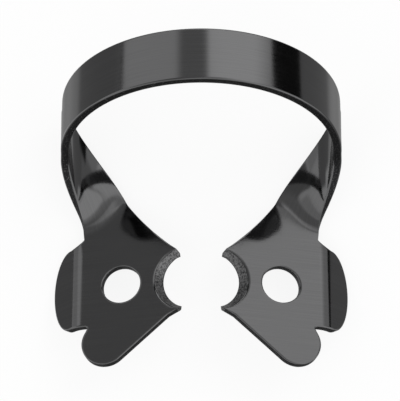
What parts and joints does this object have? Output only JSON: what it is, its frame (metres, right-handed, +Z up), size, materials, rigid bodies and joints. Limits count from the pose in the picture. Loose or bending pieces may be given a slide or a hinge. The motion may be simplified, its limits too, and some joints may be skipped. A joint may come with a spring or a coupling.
{
  "type": "rubber dam clamp",
  "caption": "One-piece sprung steel clamp with an arched bow, twisted legs and winged jaw plates that grip a tooth's neck and hold a rubber dam.",
  "frame": {"origin": "centre of the footprint of the clamp at rest, on the surface it lies on", "axes": "+X to the right as seen from the jaws, +Y from the jaws back to the bow, +Z up"},
  "size_m": [0.0228, 0.0252, 0.0143],
  "materials": {
    "steel": "spring steel with a thin dark coating, fine brushed grain, satin to glossy"
  },
  "bodies": {
    "root": {"clamp": "steel"}
  },
  "joints": []
}
